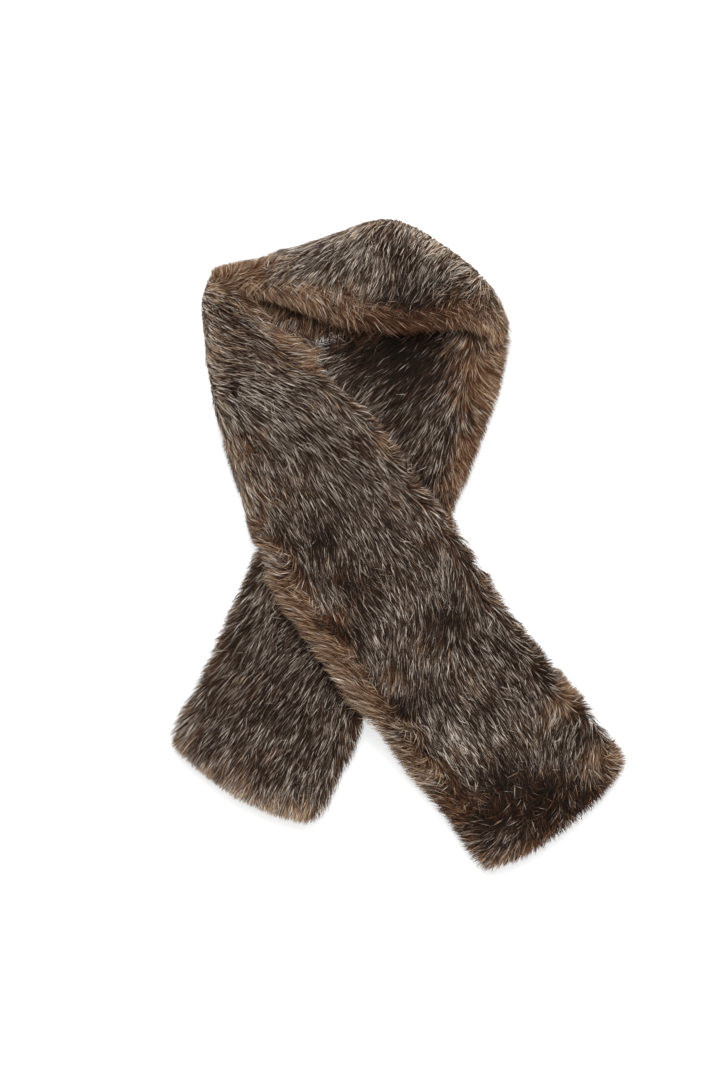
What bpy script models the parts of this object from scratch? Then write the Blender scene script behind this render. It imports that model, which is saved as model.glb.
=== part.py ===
"""Fur collar wrap: one long strip of faux fur, laid flat in a crossed loop.

The strip is two fur fabrics sewn back to back round their edge, with the pile outwards. From its free
end the under tail runs up to the neck. There the strip is folded over itself along a curved crease, and
it comes back down across the under tail as the over tail. Each solid holds the full reach of the pile.

Units are metres and +Z is up. The wrap lies on z = 0, +Y runs from the tails to the neck, and the
origin is the bottom centre of the wrap's box.
"""

import math
from collections import namedtuple

import bmesh
import bpy
import numpy as np

MM = 0.001

# The strip's thickness in millimetres, from pile tip to pile tip.
FULL = 24.0
EASED = 22.5
PRESSED = 21.0  # where another layer lies on it

CROWN = 1.5 * MM  # extra height along the middle of the strip
REST_GAP = 0.5 * MM  # between a layer and the one that lies on it
PANEL_GAP = 0.3 * MM  # between the two panels of a tail
SHELF = PRESSED * MM + CROWN + REST_GAP  # height of the upper layer's underside

# How far in from its outline the pile rounds off.
EDGE_ROUND = 13.0 * MM  # at a sewn edge
FOLD_ROUND = 18.0 * MM  # at the crease, where two layers make one rounded side
END_ROUND = 14.0 * MM  # at a tail's end
CORNER_ROUND = 8.0 * MM  # of a tail's corners, in plan
THINNEST_END = 0.18  # share of the thickness left at the very end
WIDEST_ROUND = 0.42  # of the width, which limits the rounding of a narrow section

# The over tail comes down to the table past the outer edge of the under tail.
UNDER_HEADING = math.radians(67.6)  # of the under tail, from +X
SHELF_EDGE = 33.5 * MM  # that outer edge's distance from the origin
DROP_RUN = 60.0 * MM

SPACING = 21.0 * MM  # between sections along a stretch
END_STEPS = (0.12, 0.4)  # sections on a rounded end, as shares of END_ROUND
LEVELS = 6  # steps from a layer's underside, level 0, to its top, level 1
MIDDLE = 0.5  # the level where the two panels meet
ACROSS = 3  # points between the rounded sides
SHARP_ANGLE = math.radians(50)  # edges sharper than this aren't shaded smooth

# A row is a section of the strip, in millimetres. left and right are its two edges in plan, and on the
# folded stretches left is the crease. thick is the layer's thickness. bow is how far the middle stands
# out from the line between the edges, towards +Y. fold is 1 where the left side is the crease and 0
# where it is a sewn edge.
Row = namedtuple("Row", "left_x left_y right_x right_y thick bow fold")

UNDER_TAIL = [
    Row(-180, -147, -59, -216, FULL, -14, 0),
    Row(-161, -119, -47, -190, FULL, -9, 0),
    Row(-142, -85, -31, -152, EASED, -4, 0),
    Row(-126, -45, -11, -106, PRESSED, 0, 0),
    Row(-110, -6, 8, -61, PRESSED, 0, 0),
    Row(-91, 40, 26, -17, PRESSED, 0, 0),
    Row(-73, 80, 44, 28, PRESSED, 0, 0),
    Row(-57, 113, 61, 72, PRESSED, 0, 0),
    Row(-46, 141, 75, 112, PRESSED, 0, 0),
    Row(-39, 163, 84, 155, PRESSED, 0, 0),
]

NECK_UNDER = [
    Row(84, 156, -39, 164, PRESSED, 0, 0),
    Row(81, 182, -40, 168, PRESSED, 0, 0.5),
    Row(68, 202, -42, 170, PRESSED, 0, 1),
    Row(32, 234, -45, 171, PRESSED, 0, 1),
    Row(-11, 252, -49, 172, PRESSED, 0, 1),
    Row(-62, 236, -56, 171, PRESSED, 0, 1),
    Row(-107, 221, -63, 168, PRESSED, 0, 1),
    Row(-143, 211, -69, 163, PRESSED, 0, 1),
]

NECK_FLAP = [
    Row(84, 166, 68, 161, 5, 0, 1),
    Row(80, 183, 58, 168, 13, 0, 1),
    Row(68, 202, 41, 168, 20, 0, 1),
    Row(51, 218, 22, 166, FULL, 0, 1),
    Row(32, 234, 5, 164, FULL, 0, 1),
    Row(12, 247, -13, 164, FULL, 0, 1),
    Row(-11, 252, -32, 166, FULL, 0, 1),
    Row(-38, 245, -49, 170, FULL, 0, 1),
    Row(-62, 236, -67, 176, FULL, 0, 1),
    Row(-85, 229, -84, 182, FULL, 0, 1),
    Row(-107, 221, -101, 188, FULL, 0, 1),
    Row(-126, 217, -112, 194, FULL, 0, 1),
    Row(-143, 211, -121, 199, FULL, 0, 1),
]

SIDE_UNDER = [
    Row(-147, 208, -70, 161, PRESSED, 0, 1),
    Row(-152, 181, -74, 141, PRESSED, 0, 1),
    Row(-149, 150, -84, 120, PRESSED, 0, 1),
    Row(-144, 115, -96, 92, PRESSED, 0, 1),
    Row(-134, 74, -105, 61, PRESSED, 0, 1),
    Row(-122, 40, -110, 34, PRESSED, 0, 1),
]

OVER_TAIL = [
    Row(-147, 208, -123, 196, FULL, 0, 1),
    Row(-153, 190, -109, 184, FULL, 0, 1),
    Row(-151, 165, -89, 161, FULL, 0, 1),
    Row(-148, 141, -67, 141, FULL, 0, 1),
    Row(-142, 107, -42, 117, FULL, 0, 1),
    Row(-134, 74, -18, 96, FULL, 0, 1),
    Row(-122, 38, 1, 71, FULL, 0, 1),
    Row(-113, -3, 20, 44, FULL, 0, 0.4),
    Row(-92, -43, 38, 17, FULL, 0, 0),
    Row(-67, -77, 59, -9, FULL, 0, 0),
    Row(-42, -112, 82, -40, FULL, 0, 0),
    Row(-16, -143, 105, -74, FULL, 0, 0),
    Row(10, -177, 128, -104, FULL, -2, 0),
    Row(35, -208, 151, -134, FULL, -7, 0),
    Row(56, -237, 170, -157, FULL, -12, 0),
    Row(66, -254, 179, -166, FULL, -15, 0),
]


def table_height(x, y):
    """The underside of what lies on the table."""
    return np.zeros_like(x)


def shelf_height(x, y):
    """The underside of what lies on the layer below."""
    return np.full_like(x, SHELF)


def draped_height(x, y):
    """The over tail's underside: on the under tail, then down to the table past its outer edge."""
    beyond = x * math.sin(UNDER_HEADING) - y * math.cos(UNDER_HEADING) - SHELF_EDGE
    run = np.clip(beyond / DROP_RUN, 0.0, 1.0)
    return SHELF * (1.0 - run * run * (3.0 - 2.0 * run))


def table_of(rows):
    """The rows as an array in metres. The last column, fold, is a share."""
    return np.array(rows) * ([MM] * (len(Row._fields) - 1) + [1.0])


def between(table, place):
    """The section at a fractional row, on a Catmull-Rom curve through the rows."""
    last = len(table) - 1
    row = min(int(place), last - 1)
    t = place - row
    p, q, r, s = (table[min(max(k, 0), last)] for k in range(row - 1, row + 3))
    bend = (2 * p - 5 * q + 4 * r - s) * t * t + (3 * q - p - 3 * r + s) * t**3
    return 0.5 * (2 * q + (r - p) * t + bend)


def distances(round_start, round_end, length):
    """Where the sections are, along the middle of a stretch. They are close together at a rounded end."""
    low = END_ROUND if round_start else 0.0
    high = length - (END_ROUND if round_end else 0.0)
    count = max(round((high - low) / SPACING), 1)
    places = {0.0, length}
    places.update(low + (high - low) * i / count for i in range(count + 1))
    if round_start:
        places.update(END_ROUND * share for share in END_STEPS)
    if round_end:
        places.update(length - END_ROUND * share for share in END_STEPS)
    return sorted(places)


def side_inset(level, kind, width):
    """How far a side's outline stands in at a level, from 0 at the underside to 1 at the top."""
    if kind == "sewn":
        reach, off = EDGE_ROUND, 2.0 * level - 1.0
    elif kind == "over":
        reach, off = FOLD_ROUND, level
    else:
        reach, off = FOLD_ROUND, 1.0 - level
    return min(reach, WIDEST_ROUND * width) * (1.0 - math.sqrt(1.0 - off * off))


def section(row, swell, part):
    """One closed ring of points round a section of the strip."""
    left, right = row[0:2], row[2:4]
    thick, bow, fold = row[4:7]
    width = np.linalg.norm(right - left)
    forward = np.array([left[1] - right[1], right[0] - left[0]]) / width
    pull = CORNER_ROUND * (1.0 - swell) / width
    first, last = part.levels
    levels = [(1.0 - math.cos(math.pi * k / LEVELS)) / 2 for k in range(first, last + 1)]

    def left_share(level):
        crease = side_inset(level, part.crease, width)
        return pull + (fold * crease + (1.0 - fold) * side_inset(level, "sewn", width)) / width

    def right_share(level):
        return 1.0 - pull - side_inset(level, "sewn", width) / width

    def across(level):
        inner = [(i + 1) / (ACROSS + 1) for i in range(ACROSS)]
        low, high = left_share(level), right_share(level)
        return [(low + (high - low) * share, level) for share in inner]

    ring = [(left_share(level), level) for level in levels]
    ring += across(levels[-1])
    ring += [(right_share(level), level) for level in reversed(levels)]
    ring += reversed(across(levels[0]))
    share, level = np.array(ring).T
    middle = 1.0 - (2.0 * share - 1.0) ** 2
    plan = left + share[:, None] * (right - left) + (bow * middle)[:, None] * forward
    height = MIDDLE + (level - MIDDLE) * swell
    rise = part.base(plan[:, 0], plan[:, 1]) + height * (thick + CROWN * middle)
    if part.levels != (0, LEVELS):
        on_seam = np.isclose(level, MIDDLE)
        rise[on_seam] += PANEL_GAP / 2 if first else -PANEL_GAP / 2
    return np.column_stack([plan, rise])


def sections(part):
    """The rings of a stretch, from its first section to its last."""
    table = table_of(part.rows)
    middles = (table[:, 0:2] + table[:, 2:4]) / 2
    along = np.concatenate([[0.0], np.cumsum(np.linalg.norm(np.diff(middles, axis=0), axis=1))])
    length = along[-1]
    rings = []
    for distance in distances(part.round_start, part.round_end, length):
        row = between(table, np.interp(distance, along, np.arange(len(table))))
        nearest = min(
            distance if part.round_start else END_ROUND,
            length - distance if part.round_end else END_ROUND,
            END_ROUND,
        )
        short = 1.0 - nearest / END_ROUND
        swell = max(math.sqrt(1.0 - short * short), THINNEST_END)
        rings.append(section(row, swell, part))
    return rings


def loft(name, rings):
    """A closed mesh through rings of as many points each, with a cap at each end."""
    mesh = bpy.data.meshes.new(name)
    shape = bmesh.new()
    loops = [[shape.verts.new(point) for point in ring] for ring in rings]
    count = len(loops[0])
    for here, there in zip(loops, loops[1:]):
        for i in range(count):
            j = (i + 1) % count
            shape.faces.new((here[i], here[j], there[j], there[i]))
    shape.faces.new(reversed(loops[0]))
    shape.faces.new(loops[-1])
    bmesh.ops.recalc_face_normals(shape, faces=shape.faces)
    bmesh.ops.triangulate(shape, faces=shape.faces)
    shape.to_mesh(mesh)
    shape.free()
    mesh.shade_smooth()
    mesh.set_sharp_from_angle(angle=SHARP_ANGLE)
    return mesh


def fur_material(name, colour):
    """A rough, dark pile."""
    material = bpy.data.materials.new(name)
    material.use_nodes = True
    shader = material.node_tree.nodes["Principled BSDF"]
    shader.inputs["Base Color"].default_value = (*colour, 1.0)
    shader.inputs["Roughness"].default_value = PILE_ROUGHNESS
    shader.inputs["Metallic"].default_value = 0.0
    material.diffuse_color = (*colour, 1.0)
    return material


# A stretch of the strip. levels says whether it is the whole layer or one of its two panels, and crease
# says which half of the folded side it makes.
Part = namedtuple("Part", "name rows base levels crease round_start round_end colour")

WHOLE = (0, LEVELS)
LOWER = (0, LEVELS // 2)
UPPER = (LEVELS // 2, LEVELS)
GREY_BROWN = (0.150, 0.112, 0.082)  # the pile that shows
DEEP_BROWN = (0.095, 0.066, 0.047)  # the pile of the lower panels and hidden layers
PILE_ROUGHNESS = 0.9

PARTS = [
    Part("under_tail_lower", UNDER_TAIL, table_height, LOWER, "under", True, False, DEEP_BROWN),
    Part("under_tail_upper", UNDER_TAIL, table_height, UPPER, "under", True, False, GREY_BROWN),
    Part("neck_under", NECK_UNDER, table_height, WHOLE, "under", False, False, DEEP_BROWN),
    Part("neck_flap", NECK_FLAP, shelf_height, WHOLE, "over", False, False, GREY_BROWN),
    Part("side_under", SIDE_UNDER, table_height, WHOLE, "under", False, False, DEEP_BROWN),
    Part("over_tail_lower", OVER_TAIL, draped_height, LOWER, "over", False, True, DEEP_BROWN),
    Part("over_tail_upper", OVER_TAIL, draped_height, UPPER, "over", False, True, GREY_BROWN),
]


def clear_scene():
    """Removes the objects that Blender starts with."""
    for thing in list(bpy.data.objects):
        bpy.data.objects.remove(thing)


def main():
    """Builds the wrap in a collection of its own."""
    clear_scene()
    collection = bpy.data.collections.new("fur_collar_wrap")
    bpy.context.scene.collection.children.link(collection)
    for part in PARTS:
        mesh = loft(part.name, sections(part))
        mesh.materials.append(fur_material(part.name + "_fur", part.colour))
        collection.objects.link(bpy.data.objects.new(part.name, mesh))


main()
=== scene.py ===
"""Looks of the fur collar wrap: thin pelts on the strip's form, and the pile that grows out of them.

A pelt is a thin shell of cloth inside its solid. Every hair is a narrow blade that grows out of a pelt,
rises to the solid's surface and lies down along the nap of the charts. Units are metres in the frame of
the CAD, unless a comment says millimetres.
"""

import math
from collections import namedtuple

import bpy
import numpy as np
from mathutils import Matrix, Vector
from mathutils.kdtree import KDTree
from numpy.linalg import norm

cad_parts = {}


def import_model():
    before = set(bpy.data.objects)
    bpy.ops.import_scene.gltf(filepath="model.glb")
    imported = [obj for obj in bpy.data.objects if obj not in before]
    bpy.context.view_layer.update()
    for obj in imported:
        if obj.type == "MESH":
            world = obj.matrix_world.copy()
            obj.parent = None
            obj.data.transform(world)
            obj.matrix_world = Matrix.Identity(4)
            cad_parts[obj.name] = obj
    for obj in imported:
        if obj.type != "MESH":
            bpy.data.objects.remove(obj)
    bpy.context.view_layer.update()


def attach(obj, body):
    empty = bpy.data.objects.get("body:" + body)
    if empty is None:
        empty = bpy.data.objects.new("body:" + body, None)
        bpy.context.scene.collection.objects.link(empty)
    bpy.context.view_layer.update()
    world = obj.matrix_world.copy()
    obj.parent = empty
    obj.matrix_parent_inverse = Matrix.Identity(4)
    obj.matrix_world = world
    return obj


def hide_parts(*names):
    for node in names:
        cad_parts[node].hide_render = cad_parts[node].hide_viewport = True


MM = 0.001

# ---- The strip's sections, within a few millimetres of its solids' ----

# The strip's thickness in millimetres: where nothing lies on it, where it eases off, and below a layer.
FULL = 24.0
EASED = 22.5
PRESSED = 21.0

CROWN = 1.5 * MM  # how much thicker a layer is in its middle
REST_GAP = 0.5 * MM  # between two layers
SHELF = PRESSED * MM + CROWN + REST_GAP  # where the upper layer rests
UNDER_HEADING = math.radians(67.6)  # the way the under tail runs, from +X to +Y
SHELF_EDGE = 33.5 * MM  # how far off its middle line the over tail starts down to the table
DROP_RUN = 60 * MM  # how far on it gets there

# A section of the strip, in millimetres: its left and right edges in plan, its thickness, how far its
# middle stands out towards +Y, and 1 where its left side is the crease, or less than 0 where its pelt
# reaches out to the edge of a gap. A section that doesn't say is FULL, straight and folded.
Row = namedtuple("Row", "left_x left_y right_x right_y thick bow fold", defaults=(FULL, 0, 1))

UNDER_TAIL = [
    Row(-179, -145, -61, -217, FULL, -15, 0),
    Row(-162, -118, -47, -188, FULL, -9, 0),
    Row(-143, -85, -31, -152, EASED, -4, 0),
    Row(-128, -45, -11, -106, PRESSED, 0, 0),
    Row(-112, -6, 8, -61, PRESSED, 0, 0),
    Row(-91, 40, 26, -17, PRESSED, 0, 0),
    Row(-73, 80, 44, 28, PRESSED, 0, 0),
    Row(-57, 113, 61, 72, PRESSED, 0, -0.3),
    Row(-46, 141, 75, 112, PRESSED, 0, -0.8),
    Row(-39, 163, 84, 155, PRESSED, 0, -0.8),
]

NECK_UNDER = [
    Row(84, 156, -39, 164, PRESSED, 0, 0),
    Row(80, 182, -40, 168, PRESSED, 0, 0.5),
    Row(69, 203, -42, 170, PRESSED),
    Row(33, 235, -45, 171, PRESSED),
    Row(-11, 252, -49, 172, PRESSED),
    Row(-62, 235, -56, 171, PRESSED),
    Row(-107, 220, -63, 168, PRESSED),
    Row(-143, 211, -69, 163, PRESSED),
]

NECK_FLAP = [
    Row(84, 166, 68, 161, 5),
    Row(79, 183, 58, 168, 13),
    Row(69, 203, 41, 168, 20),
    Row(52, 219, 22, 166),
    Row(32, 234, 5, 164),
    Row(12, 246, -13, 164),
    Row(-11, 252, -32, 166),
    Row(-38, 244, -49, 170),
    Row(-62, 235, -67, 176),
    Row(-85, 227, -84, 182),
    Row(-107, 219, -101, 188),
    Row(-126, 216, -112, 194),
    Row(-143, 211, -121, 199),
]

SIDE_UNDER = [
    Row(-147, 208, -70, 161, PRESSED),
    Row(-152, 181, -74, 141, PRESSED),
    Row(-149, 150, -84, 120, PRESSED),
    Row(-144, 115, -96, 92, PRESSED),
    Row(-134, 74, -105, 61, PRESSED),
    Row(-122, 40, -110, 34, PRESSED),
]

OVER_TAIL = [
    Row(-147, 208, -123, 196),
    Row(-153, 190, -109, 184),
    Row(-151, 165, -89, 161),
    Row(-149, 141, -67, 141),
    Row(-143, 108, -42, 117),
    Row(-131, 74, -18, 96),
    Row(-121, 38, 1, 71),
    Row(-110, -4, 20, 44, FULL, 0, 0.4),
    Row(-92, -43, 42, 18, fold=0),
    Row(-67, -77, 59, -9, fold=0),
    Row(-42, -112, 79, -40, fold=0),
    Row(-16, -143, 104, -74, fold=0),
    Row(7, -178, 129, -103, FULL, -2, 0),
    Row(35, -209, 153, -132, FULL, -7, 0),
    Row(55, -240, 170, -157, FULL, -11, 0),
    Row(64, -255, 178, -165, FULL, -14, 0),
]


def table_height(x, y):
    """The underside of what lies on the table."""
    return np.zeros_like(x)


def shelf_height(x, y):
    """The underside of what lies on the layer below."""
    return np.full_like(x, SHELF)


def draped_height(x, y):
    """The over tail's underside: on the under tail, then down to the table past its outer edge."""
    beyond = x * math.sin(UNDER_HEADING) - y * math.cos(UNDER_HEADING) - SHELF_EDGE
    run = np.clip(beyond / DROP_RUN, 0, 1)
    return SHELF * (1 - run * run * (3 - 2 * run))


def table_of(rows):
    """The rows as an array in metres. The last column, fold, is a share."""
    return np.array(rows) * ([MM] * (len(Row._fields) - 1) + [1.0])


def resample(rows, spacing):
    """Sections at even distances along a stretch, on a Catmull-Rom curve through its rows."""
    table = table_of(rows)
    last = len(table) - 1
    middles = (table[:, 0:2] + table[:, 2:4]) / 2
    along = np.concatenate([[0.0], np.cumsum(norm(np.diff(middles, axis=0), axis=1))])
    count = max(round(along[-1] / spacing), 2) + 1
    place = np.interp(np.linspace(0, along[-1], count), along, np.arange(len(table)))
    row = np.minimum(place.astype(int), last - 1)
    t = (place - row)[:, None]
    p, q, r, s = (table[np.clip(row + k, 0, last)] for k in (-1, 0, 1, 2))
    bend = (2 * p - 5 * q + 4 * r - s) * t * t + (3 * q - p - 3 * r + s) * t**3
    return 0.5 * (2 * q + (r - p) * t + bend)


# ---- Pelts ----

CLOTH = 1.5 * MM  # thickness of the backing cloth
PELT_HALF = 3.5 * MM  # half the height of a flattened tube of it
THIN_PELT = 0.15  # the most of that, as a share of the layer's thickness
PILE_REACH = 9 * MM  # from the pelt to the outline
ROLL_REACH = 5.5 * MM  # from the roll along the crease to the outline
FOLD_INSET = 22 * MM  # from the crease to the layer's own tube, where the roll takes over
NARROW_INSET = 0.3  # the most of an inset, as a share of the width
PELT_SPACING = 8 * MM
FLAT_STEPS = 12
ROUND_STEPS = 5
END_RINGS = 4
ROLL_STEPS = 12
ROLL_WIDEST = 0.45  # the most of the roll's depth, as a share of the width
ROLL_FROM, ROLL_TO = 1, 8  # the rows of the over tail that it runs along
SIDE_SMOOTHING = 6
END_STEP = 2 * MM  # between the rings at a rounded end, at least
END_TIP = 0.03  # the last ring's height, as a share

Grid = namedtuple("Grid", "points normals closed")  # closed says whether its rings are


def unit(v):
    """Vectors of length 1."""
    return v / np.maximum(norm(v, axis=-1, keepdims=True), 1e-12)


def tube_profile():
    """A flattened tube's section: share across the flat, then how far off its end a point is, out and up."""
    flat = np.linspace(0, 1, FLAT_STEPS + 1)
    turn = np.linspace(0, math.pi, ROUND_STEPS + 2)[1:-1]
    top = [(t, 0, 1) for t in flat]
    right = [(1, math.sin(a), math.cos(a)) for a in turn]
    bottom = [(1 - t, 0, -1) for t in flat]
    left = [(0, -math.sin(a), -math.cos(a)) for a in turn]
    return np.array(top + right + bottom + left).T


def oriented(points, closed, probe, outside):
    """The grid with its normals, turned so that the normal at probe points to that side."""
    along = np.gradient(points, axis=0)
    if closed:
        across = np.roll(points, -1, axis=1) - np.roll(points, 1, axis=1)
    else:
        across = np.gradient(points, axis=1)
    normals = unit(np.cross(across, along))
    if np.dot(normals[probe], outside) < 0:
        points, normals = points[:, ::-1], -normals[:, ::-1]
    return Grid(points, normals, closed)


def round_end(middle, half, back, scale, order, sign):
    """Turns the rings at one end a quarter circle, PILE_REACH in from the end of the pile."""
    spacing = norm(middle[order[1]] - middle[order[0]])
    for k, ring in enumerate(order):
        turn = math.pi / 2 * (1 - k / END_RINGS)
        place = PILE_REACH + half[ring] * (1 - math.sin(turn)) + END_STEP * k
        if k == END_RINGS:
            place = max(place, k * spacing)
        back[ring] = sign * (place - k * spacing)
        scale[ring] = max(math.cos(turn), END_TIP)


def tube_grid(stretch):
    """The outer surface of a stretch's flattened tube."""
    rows = resample(stretch.rows, PELT_SPACING)
    left, right = rows[:, 0:2], rows[:, 2:4]
    thick, bow, fold = rows[:, 4:].T
    middle = (left + right) / 2
    forward = unit(np.gradient(middle, axis=0))
    half = np.minimum(PELT_HALF, THIN_PELT * thick)
    back, scale = np.zeros(len(rows)), np.ones(len(rows))
    order = np.arange(END_RINGS + 1)
    if stretch.round_start:
        round_end(middle, half, back, scale, order, 1)
    if stretch.round_end:
        round_end(middle, half, back, scale, len(rows) - 1 - order, -1)
    width = norm(right - left, axis=1)
    over = (right - left) / width[:, None]
    inset_left = np.minimum(PILE_REACH + (FOLD_INSET - PILE_REACH) * fold, NARROW_INSET * width)
    inset_right = np.minimum(PILE_REACH, NARROW_INSET * width)
    share, out, up = tube_profile()
    low = inset_left + half + half * (1 - scale)
    high = width - inset_right - half - half * (1 - scale)
    across = low[:, None] + (high - low)[:, None] * share + (half * scale)[:, None] * out
    hump = 1 - (2 * np.clip(across / width[:, None], 0, 1) - 1) ** 2
    ahead = np.stack([-over[:, 1], over[:, 0]], axis=1)
    plan = left[:, None] + across[..., None] * over[:, None]
    plan += (bow[:, None] * hump)[..., None] * ahead[:, None]
    plan += (back[:, None] * forward)[:, None]
    rise = stretch.base(plan[..., 0], plan[..., 1])
    rise = rise + 0.5 * (thick[:, None] + CROWN * hump) + (half * scale)[:, None] * up
    points = np.concatenate([plan, rise[..., None]], axis=2)
    return oriented(points, True, (len(rows) // 2, FLAT_STEPS // 2), (0, 0, 1))


def roll_grid():
    """The roll of cloth along the crease, from the top of the upper layer round to the foot of the lower."""
    folded = NECK_FLAP + OVER_TAIL[ROLL_FROM:ROLL_TO]
    rows = resample(folded, PELT_SPACING)
    crease, thick = rows[:, 0:2], rows[:, 4]
    inward = rows[:, 2:4] - crease
    forward = np.gradient(crease, axis=0)
    side = np.stack([-forward[:, 1], forward[:, 0]], axis=1)
    side *= np.sign(np.sum(side * inward, axis=1))[:, None]
    for _ in range(SIDE_SMOOTHING):
        side[1:-1] = (side[:-2] + 2 * side[1:-1] + side[2:]) / 4
    side = unit(side)
    half = np.minimum(PELT_HALF, THIN_PELT * thick)
    high = draped_height(crease[:, 0], crease[:, 1]) + (thick + CROWN / 2) / 2 + half
    low = np.full(len(rows), PRESSED * MM / 2 - PELT_HALF)
    deepest = ROLL_WIDEST * norm(inward, axis=1)
    reach = np.minimum((high - low) / 2 + PILE_REACH - ROLL_REACH, deepest)
    turn = np.linspace(math.pi / 2, -math.pi / 2, ROLL_STEPS + 1)
    inset = ROLL_REACH + reach[:, None] * (1 - np.cos(turn))
    rise = ((high + low) / 2)[:, None] + ((high - low) / 2)[:, None] * np.sin(turn)
    plan = crease[:, None] + inset[..., None] * side[:, None]
    points = np.concatenate([plan, rise[..., None]], axis=2)
    outside = np.append(-side[len(rows) // 2], 0.0)
    return oriented(points, False, (len(rows) // 2, ROLL_STEPS // 2), outside)


def shell_mesh(name, grid, thickness):
    """A thin closed shell: the grid, the same moved in by the thickness, and its rims."""
    rings, steps = grid.points.shape[:2]
    outer = grid.points.reshape(-1, 3)
    inner = (grid.points - thickness * grid.normals).reshape(-1, 3)
    size = rings * steps
    spans = steps if grid.closed else steps - 1
    faces = []
    for i in range(rings - 1):
        for j in range(spans):
            a, b = i * steps + j, i * steps + (j + 1) % steps
            faces += [(a, b, b + steps, a + steps), (size + a + steps, size + b + steps, size + b, size + a)]
    last = (rings - 1) * steps
    for j in range(spans):
        k = (j + 1) % steps
        faces += [(k, j, size + j, size + k), (last + j, last + k, size + last + k, size + last + j)]
    if not grid.closed:
        for i in range(rings - 1):
            a, b = i * steps, (i + 1) * steps
            faces.append((a, b, size + b, size + a))
            a, b = a + steps - 1, b + steps - 1
            faces.append((b, a, size + a, size + b))
    mesh = bpy.data.meshes.new(name)
    mesh.from_pydata(np.concatenate([outer, inner]).tolist(), [], faces)
    mesh.update()
    mesh.shade_smooth()
    return mesh


# ---- Charts of the pile: which way it lies, its edges and its tones ----


def combs(chart):
    """A chart's combs: x and y in millimetres, and the way the hair points, in degrees from +X to +Y."""
    return np.array([(x, y, heading) for y, strokes in chart.items() for x, heading in strokes], float)


OVER_NAP = combs({
    246: [(-42, 242), (-18, 242), (-8, 246), (3, 248), (12, 240)],
    238: [(-61, 235), (-45, 240), (-26, 242), (-12, 248), (4, 254), (16, 238), (30, 228)],
    230: [(-90, 215), (-76, 222), (-61, 230), (-42, 238), (-24, 244), (-11, 256), (6, 250), (22, 234),
          (40, 218)],
    221: [(-121, 70), (-104, 48), (-92, 212), (-76, 216), (-60, 225), (-42, 235), (-22, 245), (-6, 264),
          (9, 254), (22, 238), (36, 222), (50, 208)],
    211: [(-121, 80), (-102, 42), (-76, 215), (-53, 228), (-34, 245), (-18, 256), (-3, 264), (10, 260),
          (24, 250), (34, 232), (46, 216), (58, 214), (68, 236)],
    207: [(-136, 110)],
    203: [(-110, 225), (-89, 215), (-68, 222), (-45, 248), (-30, 256), (-12, 252), (8, 250),
          (24, 254), (38, 236), (52, 212), (65, 242), (76, 275)],
    195: [(-146, -12)],
    194: [(-110, 225), (-89, 220), (-60, 240), (-35, 260), (-8, 230), (14, 215), (34, 215), (53, 222),
          (70, 282)],
    188: [(-142, -20)],
    176: [(-132, -20), (-111, -45), (62, 285), (77, 303)],
    154: [(-132, -20), (-100, -38), (-89, -18)],
    131: [(-132, -2), (-100, -18), (-79, -28), (-57, -52)],
    117: [(-122, -26), (-79, -35), (-57, -45)],
    101: [(-122, -40), (-89, -40), (-57, -40)],
    82: [(-122, -50), (-100, -58), (-68, -50), (-46, -45)],
    61: [(-122, -45), (-100, -60), (-79, -66), (-57, -53), (-25, -47)],
    42: [(-111, -46), (-79, -65), (-46, -55), (-14, -45)],
    20: [(-111, -42), (-89, -60), (-57, -72), (-35, -57), (-3, -50), (18, -60)],
    0: [(-105, -42), (-89, -47), (-68, -78), (-55, -90), (-35, -70), (-3, -54), (20, -60), (40, -88)],
    -23: [(-61, -65), (-42, -55), (-22, -57), (1, -65), (24, -74), (43, -92), (62, -72)],
    -43: [(-42, -60), (-22, -55), (1, -75), (24, -80), (41, -112), (59, -80), (78, -52)],
    -66: [(-22, -62), (-3, -92), (16, -108), (32, -110), (51, -62), (78, -52)],
    -87: [(1, -95), (16, -102), (32, -85), (51, -60), (78, -50), (101, -64)],
    -111: [(5, -110), (20, -68), (43, -56), (70, -50), (93, -60), (112, -75)],
    -131: [(1, -50), (24, -62), (47, -58), (70, -54), (93, -60), (109, -95), (128, -120)],
    -151: [(8, -45), (32, -58), (55, -60), (78, -60), (97, -66), (116, -90), (139, -112)],
    -170: [(32, -40), (55, -57), (78, -62), (101, -72), (124, -85), (143, -80)],
    -188: [(45, -25), (65, -40), (88, -60), (108, 140), (125, -70), (145, -55)],
    -205: [(55, 170), (75, 190), (95, 250), (115, 215), (135, -60)],
    -225: [(62, 180), (85, 235), (110, -110), (125, -60)],
})

UNDER_NAP = combs({
    165: [(-30, 215), (0, 217), (30, 222), (45, 240)],
    178: [(-60, 262), (-45, 252), (-30, 238)],
    145: [(-30, 215), (0, 222), (30, 232), (50, 255)],
    125: [(-40, 222), (-10, 225), (20, 230), (45, 245), (55, 262)],
    98: [(-14, 225), (8, 229), (29, 240), (50, 265)],
    75: [(-3, 225), (19, 240), (40, 258)],
    50: [(8, 243), (29, 248), (42, 265)],
    -43: [(-118, 230)],
    -60: [(-118, 232), (-98, 243), (-80, 225)],
    -85: [(-140, 230), (-118, 232), (-98, 230), (-78, 230), (-60, 228)],
    -108: [(-152, 227), (-130, 230), (-105, 230), (-80, 235), (-58, 238), (-40, 242)],
    -125: [(-161, 225), (-135, 230), (-105, 233), (-80, 238), (-58, 248), (-42, 252)],
    -145: [(-175, 220), (-165, 224), (-143, 236), (-115, 236), (-90, 240), (-65, 238), (-46, 260)],
    -160: [(-168, 235)],
    -165: [(-160, 250), (-143, 242), (-118, 235), (-90, 240), (-65, 240), (-46, 248)],
    -185: [(-118, 235), (-95, 255), (-70, 262), (-52, 245)],
    -205: [(-90, 235), (-70, 250)],
})

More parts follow.
